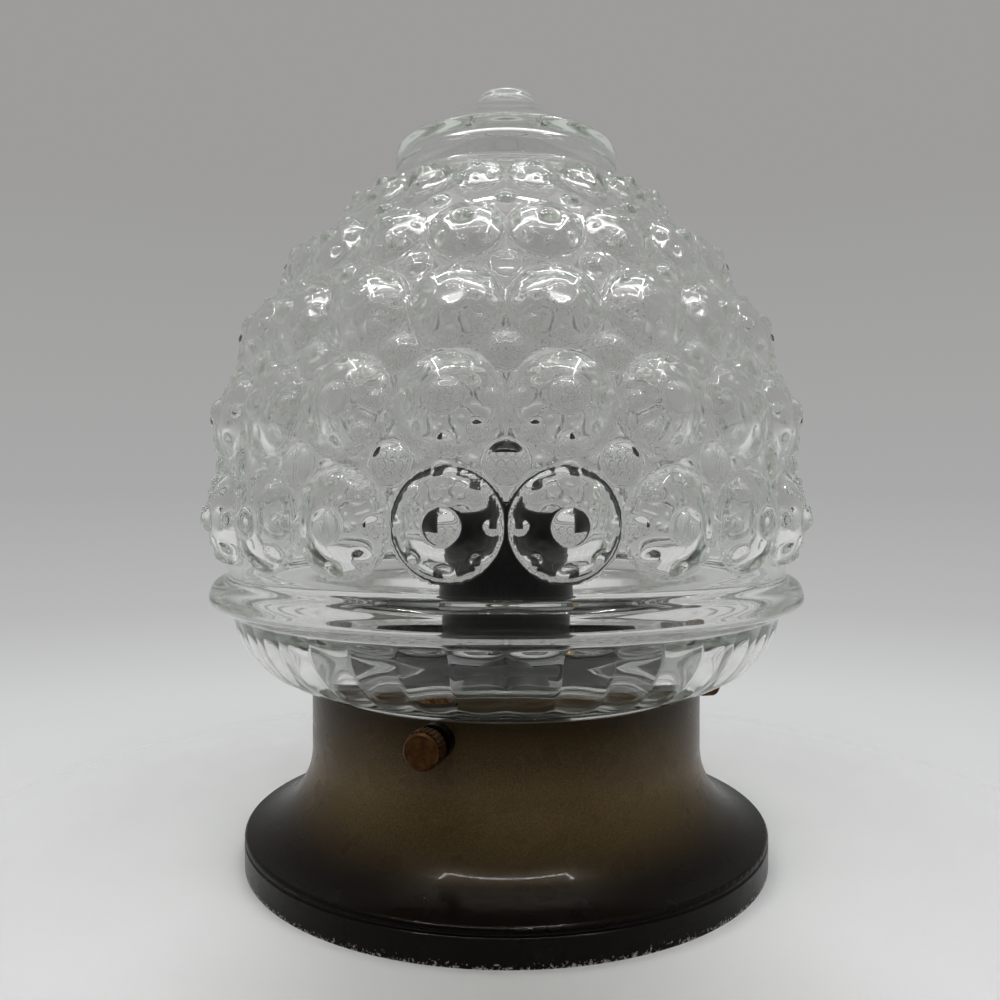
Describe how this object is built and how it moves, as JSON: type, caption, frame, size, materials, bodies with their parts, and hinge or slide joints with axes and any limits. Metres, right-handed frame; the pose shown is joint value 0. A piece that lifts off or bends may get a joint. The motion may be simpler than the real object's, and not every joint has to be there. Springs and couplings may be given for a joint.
{
  "type": "ceiling light",
  "caption": "Flush ceiling light: flared round metal canopy, clear bubble-glass shade clamped by knurled thumbscrews, and a black screw lampholder inside.",
  "frame": {"origin": "centre of the canopy's open rim, on the ceiling plane", "axes": "+Z along the light's axis away from the ceiling, up as pictured; -Y faces the picture's camera; +X to its right"},
  "size_m": [0.1722, 0.1722, 0.2195],
  "materials": {
    "lacquered_metal": "metallic lacquer with a clear coat",
    "dark_bush": "blackened",
    "stud_steel": "bronzed",
    "copper_knob": "aged copper plating",
    "zinc_steel": "zinc plated",
    "brass": "plain",
    "black_moulding": "satin phenolic moulding",
    "ceramic": "glazed",
    "white_moulding": "plain",
    "brown_lead": "insulation",
    "blue_lead": "insulation",
    "green_lead": "insulation",
    "clear_glass": "mould-blown, clear"
  },
  "bodies": {
    "canopy": {"canopy_shell": "lacquered_metal", "thumbscrew_bushes": "dark_bush", "mounting_strap": "zinc_steel", "lampholder_bracket": "zinc_steel", "bracket_rivets": "zinc_steel", "threaded_tube": "brass", "tube_nut": "zinc_steel", "tooth_washer": "zinc_steel", "lampholder_cap": "black_moulding", "lampholder_shell": "black_moulding", "lampholder_insert": "ceramic", "screw_shell": "brass", "centre_contact": "brass", "contact_screws": "brass", "terminal_block": "white_moulding", "terminal_sleeves": "brass", "terminal_screws": "zinc_steel", "block_screw": "zinc_steel", "earth_screw": "brass", "earth_tag": "zinc_steel", "live_lead": "brown_lead", "neutral_lead": "blue_lead", "earth_lead": "green_lead"},
    "shade": {"glass_shade": "clear_glass"},
    "stud_1": {"thumbscrew_stud_1": "stud_steel"},
    "knob_1": {"thumbscrew_knob_1": "copper_knob"},
    "stud_2": {"thumbscrew_stud_2": "stud_steel"},
    "knob_2": {"thumbscrew_knob_2": "copper_knob"},
    "stud_3": {"thumbscrew_stud_3": "stud_steel"},
    "knob_3": {"thumbscrew_knob_3": "copper_knob"}
  },
  "joints": [
    {"name": "shade_lift", "type": "slide", "parent": "canopy", "child": "shade", "axis": [0, 0, 1], "range_m": [0, 0.08]},
    {"name": "stud_1_travel", "type": "slide", "parent": "canopy", "child": "stud_1", "axis": [-0.2924, -0.9563, 0], "range_m": [-0.0022, 0.005]},
    {"name": "knob_1_turn", "type": "hinge", "parent": "stud_1", "child": "knob_1", "pos_m": [-0.01886, -0.06168, 0.0442], "axis": [-0.2924, -0.9563, 0], "range_deg": [-1132, 2572]},
    {"name": "stud_2_travel", "type": "slide", "parent": "canopy", "child": "stud_2", "axis": [0.9744, 0.225, 0], "range_m": [-0.0022, 0.005]},
    {"name": "knob_2_turn", "type": "hinge", "parent": "stud_2", "child": "knob_2", "pos_m": [0.06285, 0.01451, 0.0442], "axis": [0.9744, 0.225, 0], "range_deg": [-1132, 2572]},
    {"name": "stud_3_travel", "type": "slide", "parent": "canopy", "child": "stud_3", "axis": [-0.682, 0.7314, 0], "range_m": [-0.0022, 0.005]},
    {"name": "knob_3_turn", "type": "hinge", "parent": "stud_3", "child": "knob_3", "pos_m": [-0.04399, 0.04717, 0.0442], "axis": [-0.682, 0.7314, 0], "range_deg": [-1132, 2572]}
  ],
  "couplings": [
    {"joint": "knob_1_turn", "follows": "stud_1_travel", "rad_per_m": 8976},
    {"joint": "knob_2_turn", "follows": "stud_2_travel", "rad_per_m": 8976},
    {"joint": "knob_3_turn", "follows": "stud_3_travel", "rad_per_m": 8976}
  ]
}
